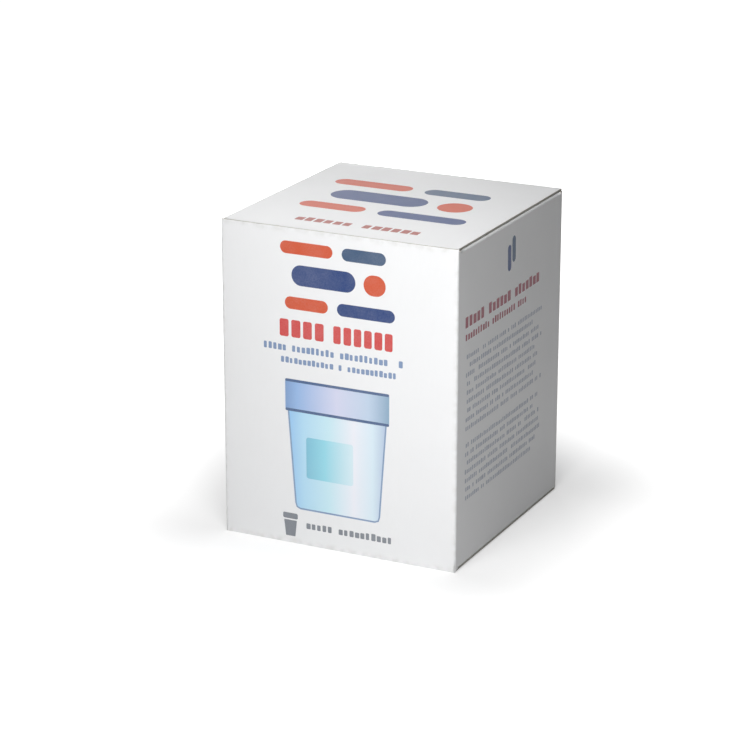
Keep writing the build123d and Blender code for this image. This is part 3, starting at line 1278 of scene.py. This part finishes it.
@dataclass(frozen=True)
class Carton:
    """The folded carton: its board, the creases at its lids and its print."""

    sizes: CartonSizes
    crease_inset: float = 0.5 * MM

    def build(self) -> list[bpy.types.Object]:
        """Builds and dresses every piece of the carton.

        Returns:
            The pieces.
        """
        bow = PanelBow(self.sizes)
        finishes = [finish.material() for finish in (COATED_FACE, PLAIN_INSIDE, CUT_EDGE)]
        sheets = [
            BoardSheet("carton_wall_board", "carton_body", "carton"),
            BoardSheet("top_lid_board", "top_lid", "upper_lid"),
            BoardSheet("bottom_lid_board", "bottom_lid", "lower_lid"),
        ]
        pieces = [sheet.build(bow, finishes) for sheet in sheets]
        lid_low, lid_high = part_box("top_lid")
        width = lid_high.x - lid_low.x - self.crease_inset
        for name, body, at_top in (("top_crease", "upper_lid", True), ("bottom_crease", "lower_lid", False)):
            pieces.append(HingeCrease(name, body, at_top, width).build(bow, finishes[0]))
        letters = letter_tree()
        picture = CupPicture()
        pieces += [sheet.build(bow, letters, picture) for sheet in self._prints(picture)]
        return pieces

    def _prints(self, picture: CupPicture) -> list[PanelPrint]:
        """Lays out the print of each panel.

        Args:
            picture: The picture of the container.

        Returns:
            The prints.
        """
        front = self._front_patches(picture), self._front_rows()
        side = self._side_patches(), self._side_rows()
        return [
            PanelPrint("front_print", Panel.FRONT, "carton", *front),
            PanelPrint("back_print", Panel.BACK, "carton", *front),
            PanelPrint("right_print", Panel.RIGHT, "carton", *side),
            PanelPrint("left_print", Panel.LEFT, "carton", *side),
            PanelPrint("lid_print", Panel.TOP, "upper_lid", BarDevice(9.0, 19.5, 50.0, 33.0).patches(), [
                LetterRows(LID_RED, 15.4, 8.0, 17.4, 3.4, 2.3, seed=41, gap=0.45, word_gaps=0.0, narrowest=0.85),
                LetterRows(LID_RED, 34.6, 8.0, 18.2, 3.4, 2.3, seed=42, gap=0.45, word_gaps=0.0, narrowest=0.85),
            ]),
        ]

    @staticmethod
    def _front_patches(picture: CupPicture) -> list[Patch]:
        """Lays out the fields on the front: the device, the picture and a small icon of a cup."""
        icon_cup = [(18.4, 1.9), (21.2, 1.9), (21.7, 6.4), (17.9, 6.4)]
        icon = [
            Patch(GREY_TEXT, rounded_box(17.6, 6.8, 22.0, 8.4, 0.4, steps=3)),
            Patch(GREY_TEXT, icon_cup),
        ]
        return BarDevice(17.5, 63.8, 33.0, 19.6).patches() + picture.patches() + icon

    @staticmethod
    def _front_rows() -> list[LetterRows]:
        """Lays out the rows on the front: a title in two words, two lines under it and a line at the foot."""
        return [
            LetterRows(TITLE_RED, 16.2, 57.2, 14.3, 4.7, 2.9, seed=11, gap=0.55, word_gaps=0.0, corner=0.5,
                       narrowest=0.88, lowest=1.0),
            LetterRows(TITLE_RED, 31.6, 57.2, 18.4, 4.7, 2.4, seed=12, gap=0.55, word_gaps=0.0, corner=0.5,
                       narrowest=0.88, lowest=1.0),
            LetterRows(PALE_BLUE_TEXT, 12.2, 53.3, 41.9, 1.9, 1.15, seed=17, gap=0.25, word_gaps=0.12),
            LetterRows(PALE_BLUE_TEXT, 16.5, 50.1, 34.0, 1.7, 1.05, seed=14, gap=0.25, word_gaps=0.12),
            LetterRows(GREY_TEXT, 23.2, 4.7, 27.4, 2.0, 1.3, seed=19, gap=0.3, word_gaps=0.1),
        ]

    @staticmethod
    def _side_patches() -> list[Patch]:
        """Lays out the small mark high on a side panel."""
        return [
            Patch(DEEP_BLUE, rounded_box(31.0, 72.6, 33.2, 79.6, 1.09)),
            Patch(SLATE_BLUE, rounded_box(33.9, 74.4, 36.1, 81.4, 1.09)),
        ]

    @staticmethod
    def _side_rows() -> list[LetterRows]:
        """Lays out the rows on a side panel: a heading and two blocks of small print."""
        return [
            LetterRows(PLUM_RED, 4.0, 64.6, 50.0, 3.0, 2.0, seed=26, gap=0.4, word_gaps=0.1, narrowest=0.85),
            LetterRows(PLUM_RED, 4.0, 61.2, 40.0, 1.9, 1.2, seed=22, gap=0.3, word_gaps=0.1),
            LetterRows(FAINT_TEXT, 5.2, 37.0, 50.0, 1.3, 0.85, seed=23, rows=9, pitch=2.4, ragged=0.16,
                       gap=0.25, word_gaps=0.12, corner=0.15, corner_steps=1),
            LetterRows(FAINT_TEXT, 5.2, 18.0, 50.0, 1.3, 0.85, seed=24, rows=7, pitch=2.4, ragged=0.3,
                       gap=0.25, word_gaps=0.12, corner=0.15, corner_steps=1),
        ]


@dataclass(frozen=True)
class WallBars:
    """Bars that stand proud of a round wall. Lengths are in millimetres, angles in degrees."""

    name: str
    slot: str
    middle: float
    length: float
    width: float
    depth: float
    radius: float
    azimuth: float = -90.0
    slope: float = 0.0
    count: int = 1
    pitch: float = 0.0
    long_length: float | None = None
    long_every: int = 1
    crest: float = 1.0
    sink: float = 0.01
    inwards: bool = False
    rise: float = 0.0
    segments: int = 12

    def build(self, bars: bpy.types.NodeTree, material: bpy.types.Material) -> bpy.types.Object:
        """Builds the bars on the cup, its cap or its label.

        Args:
            bars: The tree that wraps them.
            material: Their material.

        Returns:
            The piece.
        """
        shape = baked(bars, {
            "Middle": self.middle * MM, "Pitch": self.pitch * MM, "Short Bar": self.length * MM,
            "Long Bar": (self.long_length or self.length) * MM, "Bar Width": self.width * MM,
            "Bar Depth": self.depth * MM, "Crest": self.crest, "Sink": self.sink * MM,
            "Facing": -1.0 if self.inwards else 1.0, "Climb": self.rise / (math.tau * self.radius),
            "Azimuth": math.radians(self.azimuth), "Foot Radius": self.radius * MM, "Slope": self.slope,
            "Count": self.count, "Long Every": self.long_every, "Segments": self.segments, "Material": material,
        })
        mesh = bmesh.new()
        mesh.from_mesh(shape)
        bpy.data.meshes.remove(shape)
        point_outwards(mesh)
        piece = finished_piece(self.name, mesh, [material])
        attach(piece, "carton")
        return piece


@dataclass(frozen=True)
class Container:
    """The screw-capped cup inside the carton. Lengths are in millimetres."""

    neck_radius: float = 28.8
    skirt_bore: float = 29.55
    wall_draft: float = 3.2
    wall_top: float = 54.65
    thread_middle: float = 65.0
    thread_rise: float = 3.6
    thread_turns: float = 1.75
    label_face: float = 0.17

    def build(self) -> list[bpy.types.Object]:
        """Dresses the CAD nodes of the cup, its cap and its label, and adds their small relief.

        Returns:
            The pieces.
        """
        finishes = {"specimen_cup": CLEAR_CUP, "screw_cap": BLUE_CAP, "cup_label": LABEL_PAPER}
        materials = {node: finish.material() for node, finish in finishes.items()}
        pieces = []
        for node, material in materials.items():
            piece = frame["nodes"][node]
            for slot in piece.material_slots:
                slot.material = material
            pieces.append(piece)
        bars = wrapped_bar_tree()
        cup, cap = materials["specimen_cup"], materials["screw_cap"]
        graduations, lines, cup_thread, cap_thread = self._relief()
        plan = ((graduations, cup), (lines, GREY_TEXT.material()), (cup_thread, cup), (cap_thread, cap))
        return pieces + [relief.build(bars, material) for relief, material in plan]

    def _relief(self) -> tuple[WallBars, WallBars, WallBars, WallBars]:
        """Lays out the cup's graduations, the label's ruled lines, and the threads of the cup and the cap."""
        slope = math.tan(math.radians(self.wall_draft))
        foot = self.neck_radius - slope * self.wall_top
        around = math.tau * self.thread_turns
        graduations = WallBars(
            "cup_graduations", "cup_plastic", middle=13.0, length=3.4, width=0.5, depth=0.25, radius=foot,
            azimuth=-30.0, slope=slope, count=13, pitch=2.9, long_length=6.8, long_every=4, crest=0.5,
        )
        lines = WallBars(
            "label_lines", "label_paper", middle=24.0, length=16.4, width=0.22, depth=0.05,
            radius=foot + self.label_face, slope=slope, count=5, pitch=3.4,
        )
        cup_thread = WallBars(
            "cup_thread", "cup_plastic", middle=self.thread_middle, length=around * self.neck_radius, width=1.5,
            depth=0.5, radius=self.neck_radius, azimuth=90.0, crest=0.4, rise=self.thread_rise, segments=170,
        )
        cap_thread = WallBars(
            "cap_thread", "cap_plastic", middle=self.thread_middle + self.thread_rise / 2,
            length=around * self.skirt_bore, width=1.3, depth=0.5, radius=self.skirt_bore, azimuth=90.0,
            crest=0.4, inwards=True, rise=self.thread_rise, segments=170,
        )
        return graduations, lines, cup_thread, cap_thread


@dataclass(frozen=True)
class Softbox:
    """A soft area light that the camera doesn't see."""

    name: str
    place: tuple[float, float, float]
    aim: tuple[float, float, float]
    side: float
    power: float

    def build(self) -> bpy.types.Object:
        """Hangs the light and turns it to its aim."""
        lamp = bpy.data.lights.new(self.name, "AREA")
        lamp.shape = "SQUARE"
        lamp.size = self.side
        lamp.energy = self.power
        light = bpy.data.objects.new(self.name, lamp)
        light.location = self.place
        light.rotation_euler = (Vector(self.aim) - Vector(self.place)).to_track_quat("-Z", "Y").to_euler()
        light.visible_camera = False
        bpy.context.scene.collection.objects.link(light)
        return light


@dataclass(frozen=True)
class Studio:
    """The pale floor, the white surround and the soft lights."""

    floor_side: float = 6.0
    floor_drop: float = 0.02 * MM
    floor_colour: Colour = (0.80, 0.80, 0.80)
    floor_glow: float = 0.42  # beside the carton, where its shadow has to show
    footprint: float = 34 * MM
    glow_reach: float = 60 * MM  # beyond this the floor glows white by itself
    fill: float = 0.035
    lights: tuple[Softbox, ...] = field(default=(
        Softbox("front_light", (0.06, -0.22, 0.05), (0.0, 0.0, 0.045), 0.10, 0.17),
        Softbox("upper_light", (0.04, -0.16, 0.30), (0.0, 0.0, 0.06), 0.12, 0.62),
        Softbox("corner_light", (0.12, -0.14, 0.09), (0.0, 0.0, 0.045), 0.06, 0.012),
        Softbox("rear_light", (-0.45, 0.45, 0.30), (0.0, 0.0, 0.04), 0.40, 0.31),
        Softbox("back_light", (-0.20, 0.34, 0.06), (0.0, 0.0, 0.045), 0.15, 0.40),
    ))

    def build(self) -> None:
        """Builds the floor, the world and the lights."""
        self._floor()
        self._surround()
        for light in self.lights:
            light.build()

    @staticmethod
    def _seen(sketch: NodeSketch) -> bpy.types.NodeSocket:
        """Adds a mask that is 1 for what the camera sees, also in a reflection or through glass."""
        path = sketch.add("ShaderNodeLightPath").outputs
        direct = sketch.maths("MAXIMUM", path["Is Camera Ray"], path["Is Glossy Ray"])
        return sketch.maths("MAXIMUM", direct, path["Is Transmission Ray"])

    def _floor(self) -> None:
        """Lays a large plane whose glow reaches white where no shadow falls."""
        half = self.floor_side / 2
        corners = [(-half, -half), (half, -half), (half, half), (-half, half)]
        mesh = bmesh.new()
        mesh.faces.new([mesh.verts.new((x, y, -self.floor_drop)) for x, y in corners])
        material = bpy.data.materials.new("pale_floor")
        material.use_nodes = True
        material.node_tree.nodes.clear()
        sketch = NodeSketch(material.node_tree)
        diffuse = sketch.add("ShaderNodeBsdfDiffuse", {"Color": linear(self.floor_colour)})
        place = sketch.add("ShaderNodeTexCoord").outputs["Object"]
        whole = sketch.add("ShaderNodeVectorMath", {0: place}, operation="ABSOLUTE")
        past = sketch.add(
            "ShaderNodeVectorMath", {0: whole.outputs[0], 1: (self.footprint,) * 3}, operation="SUBTRACT"
        )
        outside = sketch.add("ShaderNodeVectorMath", {0: past.outputs[0], 1: (0.0,) * 3}, operation="MAXIMUM")
        distance = sketch.add("ShaderNodeVectorMath", {0: outside.outputs[0]}, operation="LENGTH")
        level = sketch.add(
            "ShaderNodeMapRange",
            {"Value": distance.outputs["Value"], "From Max": self.glow_reach, "To Min": self.floor_glow,
             "To Max": 1.0},
            interpolation_type="SMOOTHSTEP",
        )
        strength = sketch.maths("MULTIPLY", self._seen(sketch), level.outputs[0])
        glow = sketch.add("ShaderNodeEmission", {"Color": (1.0, 1.0, 1.0, 1.0), "Strength": strength})
        both = sketch.add("ShaderNodeAddShader", {0: diffuse.outputs[0], 1: glow.outputs[0]})
        sketch.add("ShaderNodeOutputMaterial", {"Surface": both.outputs[0]})
        finished_piece("floor", mesh, [material])

    def _surround(self) -> None:
        """Makes the world white to the camera and a plain grey fill to the object."""
        world = bpy.data.worlds.new("studio_surround")
        world.use_nodes = True
        world.node_tree.nodes.clear()
        sketch = NodeSketch(world.node_tree)
        strength = sketch.spread(self._seen(sketch), self.fill, 1.0)
        background = sketch.add("ShaderNodeBackground", {"Color": (1.0, 1.0, 1.0, 1.0), "Strength": strength})
        sketch.add("ShaderNodeOutputWorld", {"Surface": background.outputs[0]})
        bpy.context.scene.world = world


@dataclass(frozen=True)
class StudioCamera:
    """The camera, in the place that the carton's corners give."""

    azimuth: float = 26.3
    elevation: float = 18.4
    lens: float = 131.0
    distance: float = 8.34
    aim_side: float = -0.081
    aim_height: float = 0.469

    def build(self, height: float) -> bpy.types.Object:
        """Places the camera. Its distances are shares of the carton's height.

        Args:
            height: The carton's height.

        Returns:
            The camera.
        """
        turn, rise = math.radians(self.azimuth), math.radians(self.elevation)
        back = Vector((math.sin(turn) * math.cos(rise), -math.cos(turn) * math.cos(rise), math.sin(rise)))
        aim = Vector((self.aim_side * math.cos(turn), self.aim_side * math.sin(turn), self.aim_height)) * height
        data = bpy.data.cameras.new("studio_camera")
        data.lens = self.lens
        data.sensor_width = 36.0
        data.clip_start = 0.01
        camera = bpy.data.objects.new("studio_camera", data)
        camera.location = aim + back * self.distance * height
        camera.rotation_euler = (-back).to_track_quat("-Z", "Y").to_euler()
        bpy.context.scene.collection.objects.link(camera)
        bpy.context.scene.camera = camera
        return camera


def main() -> None:
    """Builds the studio, the carton and the container, and reports each piece."""
    logging.basicConfig(level=logging.INFO, format="%(name)s: %(message)s")
    sizes = CartonSizes.from_frame()
    StudioCamera().build(sizes.height)
    Studio().build()
    for piece in Carton(sizes).build() + Container().build():
        mesh = piece.data
        LOG.info("%s has %d faces and %d finishes", piece.name, len(mesh.polygons), len(mesh.materials))
    bpy.context.scene.view_settings.view_transform = "Standard"


if __name__ == "__main__":
    main()
